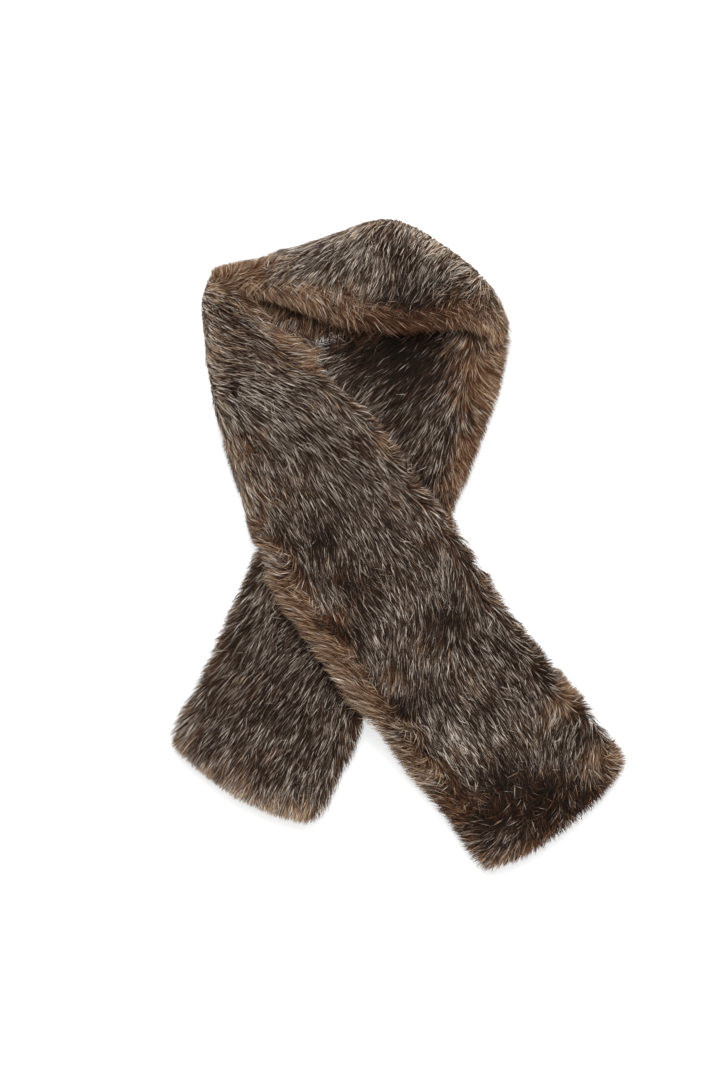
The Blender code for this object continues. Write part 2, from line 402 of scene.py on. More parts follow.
# Where the pile fans out over an edge: from the first to the last row of a side, or share of the way across
# the start or end. The hair points to heading, and its roots go in from the outline by reach, in millimetres.
# brown is the share of brown hair. stand is how far it stands up where the fan begins, from 0 for a smooth
# turn of the nap to 1 for a parting. inner is how much further to the left the hair points where its roots
# are well in from the outline, and pale is how pale it is at the outline.
Fan = namedtuple("Fan", "side first last heading_first heading_last reach brown stand inner pale",
                 defaults=(0, 0, 0))

FANS = {
    "over_tail": [
        Fan("right", 0, 2, -45, -40, 12, 0.85, 0.4),
        Fan("right", 2, 2.8, 0, 10, 20, 0.9, 0.5),
        Fan("right", 3.4, 5, 80, 95, 9, 0.15, 0.3),
        Fan("right", 5, 7, 95, 90, 12, 0.35, 0.4),
        Fan("right", 7, 8, 80, 60, 12, 0.5, 0.3),
        Fan("right", 8, 11, 15, 35, 13, 0.5, 0.2),
        Fan("right", 11, 12.5, 45, 50, 17, 0.4, 0.15),
        Fan("right", 12.5, 14, 35, 45, 12, 0.3),
        Fan("right", 14.2, 15, 45, 15, 24, 0.85, 0.3),
        Fan("left", 7, 8, 166, 172, 27, 0.6, 0.4, -16, 0.6),
        Fan("left", 8, 11, 172, 170, 30, 0.95, 0.5, -22, 0.8),
        Fan("left", 11, 13, 166, 172, 25, 0.85, 0.4, -14, 1),
        Fan("left", 13, 15, 174, 195, 22, 0.65, 0.3, -5, 0.8),
        Fan("end", 0, 0.35, 222, 256, 24, 0.65, 0.3),
        Fan("end", 0.35, 0.8, 262, 300, 18, 0.45, 0.3),
        Fan("end", 0.8, 1, 315, 350, 18, 0.5, 0.3),
    ],
    "under_tail": [
        Fan("right", 7.4, 9, -55, -32, 27, 0.95, 0.3),
        Fan("right", 6, 7.4, -78, -58, 22, 0.85, 0.3),
        Fan("right", 3, 6, -60, -60, 13, 0.5, 0.1),
        Fan("right", 0, 3, 284, 288, 15, 0.5),
        Fan("left", 0, 3, 206, 204, 14, 0.5),
        Fan("left", 3, 6.2, 204, 202, 12, 0.35),
        Fan("start", 0, 1, 236, 262, 15, 0.75, 0, 0, 1),
    ],
    "neck_flap": [
        Fan("right", 0, 2, -80, -68, 24, 1.1, 0.2, 20, 0.1),
        Fan("right", 2, 4, -60, -56, 24, 1.1, 0.4, 36, 0.6),
        Fan("right", 4, 8, -55, -62, 28, 1.1, 0.5, 38, 0.45),
        Fan("right", 8, 12, -66, -62, 25, 1.1, 0.5, 30, 0.45),
        Fan("left", 9.8, 12, 55, 120, 24, 1, 0.3),
    ],
    "neck_under": [
        Fan("left", 0, 1.2, -32, -10, 24, 0.95, 0.2),
    ],
    "side_under": [
        Fan("right", 0, 2.6, -30, -45, 30, 0.1, 0.2),
    ],
}

# Round patches in the pile, in millimetres, which fade outwards. brown, dark and light are shares of hair
# or of shade, frizz is how the hair is turned any way, and grey is the share of the brown that is gone.
Patch = namedtuple("Patch", "x y radius brown dark light frizz grey", defaults=(0, 0))

PATCHES = [Patch(*values) for values in [
    (-145, 205, 15, 1, 0, 0.1), (-130, 207, 16, 1, 0, 0.1), (-109, 194, 15, 1, 0, 0),
    (-92, 192, 16, 1, 0, 0.2), (-120, 195, 6, 0.5, 0.7, 0), (-100, 172, 12, 0.8, 0, 0),
    (-82, 148, 12, 1, 0, 0.3), (70, 156, 24, 1, 0, 0.8), (62, 125, 18, 0.9, 0, 0.5),
    (-75, -204, 15, 0.85, 0, 1.3), (-97, -196, 14, 0.8, 0, 1), (-122, -183, 14, 0.75, 0, 0.9),
    (-148, -168, 14, 0.8, 0, 0.9), (-168, -152, 14, 0.85, 0, 0.8), (-28, 183, 10, 0.9, 0, 0.3),
    (-47, 179, 17, 1, 0.25, 0), (-68, 186, 13, 1, 0.12, 0), (-20, 177, 13, 1, 0.15, 0),
    (-44, 186, 12, 0.8, 0, 0.2, 0.5), (48, 192, 10, 0.5, 0, 0.2, 0.5), (-16, 82, 9, 0.8, 0, 0.1),
    (-8, -95, 9, 0.8, 0.1, 0), (-50, -47, 8, 0.8, 0.4, 0), (126, -112, 15, 0.9, 0, 0.6),
    # (-1, 230) darkens a small spot on the flap's top: painted shadow between two tufts.
    (159, -162, 14, 0.9, 0, 0.5), (-61, 11, 12, 0, 0.5, 0), (-1, 230, 6, 0, 0.6, 0),
    (-105, 115, 26, 0, 0, 0.4), (-40, -20, 16, 0.2, 0.35, 0, 0.4), (32, -43, 14, 0.1, 0.35, 0),
    # (16, 62) darkens the lower part of the hollow inside the loop: painted shade.
    (16, 62, 20, 0, 0.15, 0), (-140, 150, 24, 0.4, 0, 0.3), (-128, 82, 17, 0.4, 0, 0.4),
    # (10, 160), (-28, 168) and (8, 130) darken the hollow inside the loop below the flap's edge, most just
    # under it: painted shade.
    (-112, 35, 16, 0.4, 0, 0.3), (10, 160, 32, 0, 1, 0), (-28, 168, 18, 0, 1, 0), (8, 130, 24, 0, 0.4, 0),
    # (-54, 143) and (-46, 156) make the hair over the loop's opening pale grey, lighter at its lower left and
    # darker to the upper right: painted shade, standing in for the floor seen in shade through the opening.
    (-54, 143, 15, 0, 0, 0.9, 0.1, 1), (-46, 156, 17, 0, 0, 0.2, 0.1, 1), (-100, -112, 50, 0, 0.12, 0),
    (-42, -62, 9, 0.2, 0.7, 0), (1, -116, 8, 0.2, 0.8, 0), (75, -190, 22, 0.3, 0.8, 0, 0.7),
    (108, -193, 24, 0.3, 0.85, 0, 0.9), (136, -186, 16, 0.3, 0.6, 0, 0.7), (50, -205, 18, 0.7, 0.4, 0),
    (43, -147, 18, 0, 0, 0.6), (-53, 50, 14, 0, 0, 0.3), (-30, 234, 28, 0, 0, 0.5),
    (-60, 218, 26, 0, 0, 0.5), (-95, 212, 16, 0, 0, 0.4), (40, 215, 28, 0, 0, 0.25),
    (-3, -43, 10, 0, 0, 0.3),
]]

# Places, in millimetres, where a stretch's hair is so many times longer and may run on so far past its
# layer's outline, over the other layer or over a gap.
Place = namedtuple("Place", "x y radius longer past")

RUN_ON = {
    "under_tail": [
        Place(-46, 148, 26, 1.9, 30), Place(-172, -136, 32, 1.35, 4), Place(-140, -75, 36, 1.35, 4),
        Place(82, 140, 24, 1.3, 2),
    ],
    "neck_under": [
        Place(-52, 180, 20, 2.1, 30), Place(82, 162, 14, 1.3, 4),
    ],
    "side_under": [
        Place(-72, 150, 22, 1.9, 30),
    ],
    "over_tail": [
        Place(-84, 152, 14, 1.2, 20), Place(-85, -52, 28, 1.1, 8), Place(-58, -90, 30, 1.1, 8),
        Place(-33, -122, 26, 1.1, 8), Place(-20, -130, 16, 1.45, 16), Place(44, 12, 12, 1.3, 1),
        Place(62, -18, 14, 1.3, 2), Place(140, -122, 16, 1.25, 2), Place(126, -206, 24, 0.7, 0),
    ],
    "neck_flap": [
        Place(-40, 172, 30, 1.1, 5), Place(0, 168, 30, 1.1, 5), Place(40, 170, 24, 1.1, 5),
        Place(71, 161, 14, 1.4, 14),
    ],
}


# ---- Stretches and kinds of hair ----

# A stretch of the strip: its nodes and rows, what it rests on, its layer, how it is held, its pelt's cut in
# metres, once round the tube and along it, its chart of the nap and which of its ends are rounded.
Stretch = namedtuple("Stretch", "name nodes rows base upper held girth cut nap round_start round_end",
                     defaults=(False, False))

STRETCHES = [
    Stretch("under_tail", ["under_tail_lower", "under_tail_upper"], UNDER_TAIL, table_height, False,
            "laid", 0.23, 0.37, UNDER_NAP, round_start=True),
    Stretch("neck_under", ["neck_under"], NECK_UNDER, table_height, False, "folded", 0.16, 0.11, UNDER_NAP),
    Stretch("neck_flap", ["neck_flap"], NECK_FLAP, shelf_height, True, "folded", 0.08, 0.20, OVER_NAP),
    Stretch("side_under", ["side_under"], SIDE_UNDER, table_height, False, "folded", 0.07, 0.145, UNDER_NAP),
    Stretch("over_tail", ["over_tail_lower", "over_tail_upper"], OVER_TAIL, draped_height, True,
            "laid", 0.22, 0.46, OVER_NAP, round_end=True),
]

JOINTS = [("under_tail", "neck_under"), ("neck_under", "side_under"), ("neck_flap", "over_tail")]

# A kind of hair: how many to a square metre, the points along it as shares of its length, its width at
# each but the tip, its height and lean in metres, its width in metres, how it is gathered into locks, how
# much higher it rises at an edge where the nap points in from it, the darkest and lightest of its colours
# as shares of the range, how far along a hair its colours start, the least share of brown hair, and the
# share of its hairs that stay light in the dark patches.
Kind = namedtuple("Kind", "name density steps shape height lean width gather "
                          "rise dark light start brown bright")

KINDS = [
    Kind("long", 0.58e6, (0.0, 0.35, 0.7, 1.0), (0.7, 1.0, 0.8), 9.2 * MM, 18 * MM, 0.57 * MM, 0.08,
         0.2, 0.08, 0.94, 0.15, 0.05, 0.15),
    Kind("guard", 2.0e6, (0.0, 1.0), (1.0,), 7.6 * MM, 15.5 * MM, 1 * MM, 0.2,
         -0.1, 0.0, 0.71, 0.0, 0.16, 0.0),
    Kind("underfur", 1.3e6, (0.0, 1.0), (1.0,), 6 * MM, 8 * MM, 1.4 * MM, 0.2,
         -0.1, 0.0, 0.5, 0.0, 0.30, 0.0),
]


# ---- Fields over the plan ----

NAP_SOFTNESS = 4.0  # millimetres
FAN_BLUR, BLUR_BEYOND = 9.0, 0.3  # millimetres in from a fan's reach, and the share of it out from there
FAN_SOFTNESS = 3 * MM
FAN_POINTS = 40  # along each fan
INNER_TURN = (9 * MM, 17 * MM)  # in from the outline, where a fan's inner heading takes over
PALE_DEPTH = (11 * MM, 21 * MM)  # in from the outline, where a pale edge ends
FLATTEST_NAP = 0.4  # the length of the nap in the middle of a parting
CROSSED = 0.5  # how much shorter the nap is where combs cross
STANDING = 0.8  # how much sharper and flatter a parting is where the hair stands up
BROWN_LIMITS = (0.02, 0.97)
FAN_CHUNK, OUTLINE_CHUNK = 4000, 20000  # points worked on at once

# Smooth random fields: how the fans' inner borders wander, how the brown, the least brown and the light vary,
# and how the hair's turn and its lift do. Each has its own WAVE_COUNT waves, finer or coarser by FINENESS.
Field = namedtuple("Field", "size length seed")

BORDER_FIELD = Field(3 * MM, 16 * MM, 5)
BROWN_FIELD = Field(0.35, 14 * MM, 13)
LEAST_FIELD = Field(0.10, 30 * MM, 11)
LIGHT_FIELD = Field(0.16, 20 * MM, 12)
TURN_FIELD = Field(0.10, 22 * MM, 21)
LIFT_FIELD = Field(0.10, 18 * MM, 22)
WAVE_COUNT, FINENESS = 10, (0.6, 1.6)


def smooth_step(x, low, high):
    """0 below low, 1 above high, and a smooth rise between."""
    t = np.clip((x - low) / (high - low), 0, 1)
    return t * t * (3 - 2 * t)


def waves(plan, field):
    """A smooth random field over the plan, about as strong as its size, with features its length across."""
    rng = np.random.default_rng(field.seed)
    total = np.zeros(len(plan))
    for _ in range(WAVE_COUNT):
        turn = rng.uniform(0, 2 * math.pi)
        course = np.array([math.cos(turn), math.sin(turn)])
        course = course * rng.uniform(*FINENESS) * math.pi / field.length
        total += np.cos(plan @ course + rng.uniform(0, 2 * math.pi))
    return field.size * (total / math.sqrt(WAVE_COUNT))


def nap_at(chart, plan):
    """The nap at points in plan: the combs' directions, blended by their nearness."""
    place = plan / MM
    apart = (place[:, 0:1] - chart[:, 0]) ** 2 + (place[:, 1:2] - chart[:, 1]) ** 2
    weight = 1 / (apart + NAP_SOFTNESS**2) ** 2
    weight /= weight.sum(axis=1, keepdims=True)
    turn = np.radians(chart[:, 2])
    return np.stack([weight @ np.cos(turn), weight @ np.sin(turn)], axis=1)


def edge_point(table, side, place):
    """A point of an edge at a fractional row, or at a share of the way across an end."""
    if side in ("start", "end"):
        row = table[0 if side == "start" else -1]
        across = unit(row[2:4] - row[0:2])
        ahead = np.array([-across[1], across[0]])
        return row[0:2] + place * (row[2:4] - row[0:2]) + row[5] * (1 - (2 * place - 1) ** 2) * ahead
    columns = slice(0, 2) if side == "left" else slice(2, 4)
    low = min(int(place), len(table) - 2)
    return table[low, columns] + (place - low) * (table[low + 1, columns] - table[low, columns])


def fan_points(stretch):
    """Points along the fans of a stretch: x, y, heading, reach, brown, stand, inner and pale."""
    table = table_of(stretch.rows)
    found = []
    for fan in FANS[stretch.name]:
        for share in np.linspace(0, 1, FAN_POINTS):
            x, y = edge_point(table, fan.side, fan.first + share * (fan.last - fan.first))
            heading = fan.heading_first + share * (fan.heading_last - fan.heading_first)
            found.append((x, y, heading, *fan[5:]))
    return np.array(found)


def fan_field(stretch, plan):
    """At points in plan: the fans' heading, strength and brown, how far hair stands, and the pale edge."""
    count = len(plan)
    heading, strength, brown, stand, pale = np.zeros((5, count))
    points = fan_points(stretch)
    turn = np.radians(points[:, 2])
    for part in np.array_split(np.arange(count), max(count // FAN_CHUNK, 1)):
        apart = norm(plan[part, None] - points[None, :, 0:2], axis=2)
        near = 1 / (apart + FAN_SOFTNESS) ** 4
        near /= near.sum(axis=1, keepdims=True)
        reach = near @ points[:, 3] * MM
        inward = apart.min(axis=1) + waves(plan[part], BORDER_FIELD)
        further = near @ np.radians(points[:, 6]) * smooth_step(inward, *INNER_TURN)
        heading[part] = np.arctan2(near @ np.sin(turn), near @ np.cos(turn)) + further
        strength[part] = 1 - smooth_step(inward, reach - FAN_BLUR * MM, reach + BLUR_BEYOND * FAN_BLUR * MM)
        brown[part] = near @ points[:, 4]
        stand[part] = near @ points[:, 5]
        pale[part] = near @ points[:, 7] * (1 - smooth_step(inward, *PALE_DEPTH))
    return heading, strength, brown, stand, pale


def turned_nap(nap, heading, strength, stand):
    """The nap turned to the fans' heading by their strength, and shorter where the hair stands up."""
    start = np.arctan2(nap[:, 1], nap[:, 0])
    turn = (heading - start + math.pi) % (2 * math.pi) - math.pi
    share = np.clip((strength - 0.5) / (1 - STANDING * stand) + 0.5, 0, 1)
    size = 1 - (1 - norm(nap, axis=1)) * CROSSED * (1 - share)
    size -= stand * STANDING * 4 * share * (1 - share)
    course = start + turn * share
    length = FLATTEST_NAP + (1 - FLATTEST_NAP) * np.maximum(size, 0)
    return np.stack([np.cos(course), np.sin(course)], axis=1) * length[:, None]


def nearness(plan, spot, power):
    """1 in the middle of a patch or place, and less outwards, the more suddenly the higher the power."""
    return np.exp(-((norm(plan / MM - (spot.x, spot.y), axis=1) / spot.radius) ** power))


def tone_at(plan, brown, least):
    """The pile's brown, dark, light and frizz. brown is what its edges give it, and least the least."""
    tones = np.zeros((5, len(plan)))
    tones[0] = brown
    for patch in PATCHES:
        tones = np.maximum(tones, np.outer(patch[3:], nearness(plan, patch, 2)))
    brown, dark, light, frizz, grey = tones
    brown = brown * (1 + waves(plan, BROWN_FIELD))
    brown += (least + waves(plan, LEAST_FIELD)) * (1 - dark)
    light = light + waves(plan, LIGHT_FIELD)
    return np.clip(brown * (1 - grey), *BROWN_LIMITS), dark, light, frizz


def run_on(stretch, plan):
    """At points in plan, how many times longer the hair is, and how far past the outline it may go."""
    longer, past = np.ones(len(plan)), np.zeros(len(plan))
    for place in RUN_ON[stretch.name]:
        near = nearness(plan, place, 4)
        longer *= 1 + (place.longer - 1) * near
        past = np.maximum(past, place.past * MM * near)
    return longer, past


# ---- Outlines ----

END_SHARES = np.linspace(0, 1, 9)[1:-1]  # of the way across an end, where its outline has points


def outline(stretch):
    """The strip's outline on a stretch, as a closed polygon."""
    table = table_of(stretch.rows)
    end = [edge_point(table, "end", share) for share in END_SHARES]
    start = [edge_point(table, "start", share) for share in END_SHARES[::-1]]
    return np.concatenate([table[:, 0:2], end, table[::-1, 2:4], start])


def joint_outline(first, second):
    """A polygon over the joint of two stretches, through the two rows on each side of it."""
    rows = np.concatenate([table_of(first.rows)[-2:], table_of(second.rows)[:2]])
    points = np.concatenate([rows[:, 0:2], rows[:, 2:4]])
    from_middle = points - points.mean(axis=0)
    return points[np.argsort(np.arctan2(from_middle[:, 1], from_middle[:, 0]))]


def outlines(upper):
    """The outlines of the upper or of the lower layer."""
    layer = {stretch.name: stretch for stretch in STRETCHES if stretch.upper == upper}
    joints = [joint_outline(layer[first], layer[second]) for first, second in JOINTS if first in layer]
    return [outline(stretch) for stretch in layer.values()] + joints


def depth_inside(polygon, plan):
    """How far in from a polygon's outline points are. Outside it, the depth is negative."""
    a, b = polygon, np.roll(polygon, -1, axis=0)
    depth = np.empty(len(plan))
    for part in np.array_split(np.arange(len(plan)), max(len(plan) // OUTLINE_CHUNK, 1)):
        p = plan[part, None]
        t = np.clip(np.sum((p - a) * (b - a), axis=2) / np.sum((b - a) ** 2, axis=1), 0, 1)
        away = norm(p - (a + t[..., None] * (b - a)), axis=2).min(axis=1)
        above = (a[:, 1] > p[..., 1]) != (b[:, 1] > p[..., 1])
        rise = np.where(b[:, 1] == a[:, 1], 1.0, b[:, 1] - a[:, 1])
        crossing = p[..., 0] < a[:, 0] + (p[..., 1] - a[:, 1]) * (b[:, 0] - a[:, 0]) / rise
        inside = np.sum(above & crossing, axis=1) % 2 == 1
        depth[part] = np.where(inside, away, -away)
    return depth


def depth_in_layer(upper, plan):
    """How deep points are in the outlines of the upper or of the lower layer."""
    return np.max([depth_inside(polygon, plan) for polygon in outlines(upper)], axis=0)


# ---- Where the hairs grow ----

HIDDEN = 20 * MM  # no pile grows deeper than this between two layers
UNDERSIDE_PILE = 0.25  # the share of the pile that grows below
SIDE_RISE = (-0.6, 0.1)  # of the normal, where the pile gets thinner towards the underside
FLAT_RISE = 0.3  # of the normal on a top, at least, and the other way on an underside
LOCK = 9  # hairs in a lock


def pile_weight(stretch, points, normals):
    """How much pile grows on a pelt: most where it shows, some below, and none between two layers."""
    rise = normals[:, 2]
    share = UNDERSIDE_PILE + (1 - UNDERSIDE_PILE) * smooth_step(rise, *SIDE_RISE)
    if stretch.upper:
        covered = (rise < -FLAT_RISE) & (points[:, 2] > SHELF)
    else:
        covered = rise > FLAT_RISE
    deep = depth_in_layer(not stretch.upper, points[:, :2])
    return np.where(covered & (deep > HIDDEN), 0, share)


def sample(grid, density, rng, weigh):
    """Random places on a grid, by area and weight, with their normals."""
    points, normals = grid.points, grid.normals
    if grid.closed:
        points = np.concatenate([points, points[:, :1]], axis=1)
        normals = np.concatenate([normals, normals[:, :1]], axis=1)
    a, b, c, d = points[:-1, :-1], points[1:, :-1], points[1:, 1:], points[:-1, 1:]
    area = 0.5 * norm(np.cross(c - a, d - b), axis=2).ravel()
    middle, facing = (a + b + c + d) / 4, unit(normals[:-1, :-1] + normals[1:, 1:])
    area = area * weigh(middle.reshape(-1, 3), facing.reshape(-1, 3))
    count = round(density * area.sum())
    i, j = np.unravel_index(rng.choice(area.size, size=count, p=area / area.sum()), a.shape[:2])
    u, v = rng.random((2, count, 1))

    def mixed(values):
        here = (1 - u) * values[i, j] + u * values[i + 1, j]
        there = (1 - u) * values[i, j + 1] + u * values[i + 1, j + 1]
        return (1 - v) * here + v * there

    return mixed(points), unit(mixed(normals))


# Hairs gathered into locks: the numbers of the hairs that lead them, and each hair's lock.
Locks = namedtuple("Locks", "leaders number")


def gathered(root, rng):
    """The locks of hairs with these roots: each hair is in the lock of the nearest leader."""
    leaders = rng.permutation(len(root))[: len(root) // LOCK]
    tree = KDTree(len(leaders))
    for n, leader in enumerate(leaders):
        tree.insert(root[leader], n)
    tree.balance()
    return Locks(leaders, np.array([tree.find(point)[1] for point in root]))


def by_lock(draw, locks, *limits):
    """A random value for each lock, at its hairs."""
    return draw(*limits, len(locks.leaders))[locks.number]


# ---- The hairs ----

RIM = (6 * MM, 15 * MM)  # in from the outline, where its rim ends
RIM_BROWN, PARTED_BROWN = 0.25, 0.25  # the share of brown hair
PALE_LESS_BROWN = 0.3
STRAYS = 0.07  # the share of the hairs
LOCK_TURN, HAIR_TURN, STRAY_TURN = 0.07, 0.11, 0.40  # radians
FRIZZ = 1.2  # radians, how the hair turns any way where it is frizzy
PARTED_FRIZZ = 0.6
LOCK_SIZE, HAIR_SIZE = (0.88, 1.08), (0.72, 1.12)
LOCK_LIFT, HAIR_LIFT = 0.10, (0.80, 1.08)
LOCK_PULL, STRAY_PULL = (0.1, 0.5), 0.2
SPARE = (-1 * MM, 3.5 * MM)  # how far past the outline a hair may end
SHORTEST = 0.25  # the least share of its reach that a hair keeps there
ABOVE_TABLE, ABOVE_SPREAD = 0.7 * MM, 0.3 * MM
STEEP, AGAINST = (0.1, 0.7), (0.1, 0.5)  # where a surface is steep, and where the nap points in to it
EDGE_LIFT, EDGE_EVEN = 0.95, 0.7  # the lift of such hair, and how even it is
OVER_TOP, LESS_ALONG = 0.9, 0.3  # how far it goes over the top, and how much less along the side
ALONG_LATE, TOP_LATE, PULL_LATE = 1.3, 2, 1.5  # powers of the share along a hair
LEAST_TIPPED = 0.4  # keeps the nap steady on undersides

GREY_END = 0.62  # of the range of colours; the grey-brown hair is below, and the brown hair above
BROWN_START = 0.66
COLOUR_LIMITS = (0.002, 0.996)
SHADE_SHARES = (0.94, 0.06)  # of a hair's shade, its own and its lock's
BROWN_SHARES = (0.85, 0.15)  # of the chance that a hair is brown
LIGHTER, DARKER = 0.25, 0.62  # how far light and dark patches move the shade
# The rim's hair is made lighter, and its colours start further along so that its dark root hides: painted
# back light, for the glow where light comes through the tips at the edges.
RIM_PAINTED_LIGHT, INWARD_SHADE, STRAY_SHADE = 0.12, 0.07, 0.12
STILL_DARK = 0.2  # the share of a patch's dark that a bright hair keeps
HAIR_WIDTH, UNDERSIDE_WIDTH = (0.6, 1.2), 1.9
TWIST = 0.5  # radians
# At the rim, a later start of the colours hides the dark root: painted back light.
RIM_LIGHT_START, INWARD_START, PARTED_START = 0.4, 0.5, 0.7  # how far along a hair its colours start

# What the charts say at hairs' roots. way is the nap, and depth is how deep they are in the outline.
Charted = namedtuple("Charted", "way parted depth rim brown dark light frizz pale")


def charted_at(stretch, kind, plan):
    """What the charts say at points in plan."""
    heading, strength, fan_brown, stand, pale = fan_field(stretch, plan)
    way = turned_nap(nap_at(stretch.nap, plan), heading, strength, stand)
    parted = 1 - norm(way, axis=1)
    depth = depth_in_layer(stretch.upper, plan)
    # rim is 1 at the outline; it carries the painted back light there, and some brown.
    rim = 1 - smooth_step(depth, *RIM)
    edge_brown = np.maximum(strength * fan_brown + PARTED_BROWN * parted, RIM_BROWN * rim)
    return Charted(way, parted, depth, rim, *tone_at(plan, edge_brown, kind.brown), pale)


def rotated(vector, axis, turn):
    """Vectors at right angles to their axes, turned about them."""
    return vector * np.cos(turn)[:, None] + np.cross(axis, vector) * np.sin(turn)[:, None]


def laid_over(way, normal):
    """Directions in plan, laid on surfaces: turned with the upright as it tips over to the normal."""
    flow = np.column_stack([way, np.zeros(len(way))])
    upright = np.array([0.0, 0.0, 1.0])
    lean = np.sum(flow * normal, axis=1) / np.maximum(1 + normal[:, 2], LEAST_TIPPED)
    flow -= lean[:, None] * (normal + upright)
    return flow - normal * np.sum(flow * normal, axis=1, keepdims=True)


def kept_reach(stretch, depth, tip, past, rng):
    """The share of its reach in plan that a hair keeps, to end about where the outline is."""
    tip_depth = depth_in_layer(stretch.upper, tip)
    spare = rng.uniform(*SPARE, len(tip)) + rng.random(len(tip)) * past
    share = (depth + spare) / np.maximum(depth - tip_depth, 1e-6)
    return np.where(tip_depth < -spare, np.clip(share, SHORTEST, 1.0), 1.0)[:, None]


def hair_lines(stretch, kind, root, normal, at, locks, stray, rng):
    """The points along each hair, and how far it comes in from an edge."""
    plan, count = root[:, :2], len(root)
    turn = waves(plan, TURN_FIELD) + by_lock(rng.normal, locks, 0.0, LOCK_TURN)
    frizz = FRIZZ * np.maximum(at.frizz, PARTED_FRIZZ * at.parted)
    turn += rng.normal(0.0, 1.0, count) * (np.where(stray, STRAY_TURN, HAIR_TURN) + frizz)
    flow = rotated(laid_over(at.way, normal), normal, turn)
    ahead = np.column_stack([at.way, np.zeros(count)])
    # Where the nap points in from an edge, the hair comes up the side and lies down over the top.
    steep = smooth_step(1 - normal[:, 2], *STEEP)
    inward = steep * smooth_step(-np.sum(at.way * normal[:, :2], axis=1), *AGAINST)
    longer, past = run_on(stretch, plan)
    size = by_lock(rng.uniform, locks, *LOCK_SIZE) * rng.uniform(*HAIR_SIZE, count) * longer
    lift = by_lock(rng.normal, locks, 1.0, LOCK_LIFT) * rng.uniform(*HAIR_LIFT, count)
    lift *= 1 + waves(plan, LIFT_FIELD)
    lift = (lift + (EDGE_LIFT - lift) * EDGE_EVEN * inward) * (1 + kind.rise * inward)
    out = normal * (kind.height * lift)[:, None]
    reach = (kind.lean * size)[:, None]
    along = flow * reach
    over_top = (ahead - LESS_ALONG * flow) * reach * OVER_TOP * inward[:, None]
    kept = kept_reach(stretch, at.depth, (root + out + along + over_top)[:, :2], past, rng)
    out[:, :2] *= kept
    steps = np.array(kind.steps)[:, None]
    line = root[:, None] + out[:, None] * (1 - (1 - steps) ** 2)
    line = line + (along * kept)[:, None] * steps**ALONG_LATE
    line += (over_top * kept)[:, None] * steps**TOP_LATE
    pull = kind.gather * by_lock(rng.uniform, locks, *LOCK_PULL) * np.where(stray, STRAY_PULL, 1.0)
    line += (line[locks.leaders][locks.number] - line) * pull[:, None, None] * steps**PULL_LATE
    lowest = ABOVE_TABLE + ABOVE_SPREAD * rng.random(count)[:, None]
    line[..., 2] = np.maximum(line[..., 2], lowest)
    return line, inward


def hair_colours(kind, at, locks, stray, inward, rng):
    """Each hair's place in the range of colours."""
    count = len(stray)
    brown = at.brown * (1 - PALE_LESS_BROWN * at.pale)
    dark = at.dark * np.where(rng.random(count) < kind.bright, STILL_DARK, 1.0)
    shade = SHADE_SHARES[0] * rng.random(count) + SHADE_SHARES[1] * by_lock(rng.random, locks)
    shade = kind.dark + (kind.light - kind.dark) * shade
    shade = shade + LIGHTER * (at.light + at.pale) - DARKER * dark
    # Lighter at the rim: painted back light.
    shade = shade + RIM_PAINTED_LIGHT * at.rim + INWARD_SHADE * inward + STRAY_SHADE * stray
    shade = np.clip(shade, 0, 1)
    chance = BROWN_SHARES[0] * rng.random(count) + BROWN_SHARES[1] * by_lock(rng.random, locks)
    colour = np.where(chance < brown, BROWN_START + (1 - BROWN_START) * shade, GREY_END * shade)
    return np.clip(colour, *COLOUR_LIMITS)


def make_hairs(stretch, kind, grid, weigh, rng):
    """Hairs on a pelt: the points, normal, width, twist and colour of each, and its colours' start."""
    root, normal = sample(grid, kind.density, rng, weigh)
    count = len(root)
    at = charted_at(stretch, kind, root[:, :2])
    locks = gathered(root, rng)
    stray = rng.random(count) < STRAYS
    line, inward = hair_lines(stretch, kind, root, normal, at, locks, stray, rng)
    colour = hair_colours(kind, at, locks, stray, inward, rng)
    width = kind.width * rng.uniform(*HAIR_WIDTH, count)
    width = width * np.where(normal[:, 2] < -FLAT_RISE, UNDERSIDE_WIDTH, 1)
    # At the rim the colours start further along, hiding the dark root: painted back light.
    start = [np.full(count, kind.start), RIM_LIGHT_START * at.rim, INWARD_START * inward, PARTED_START * at.parted]
    return line, normal, width, rng.normal(0.0, TWIST, count), colour, np.max(start, axis=0)


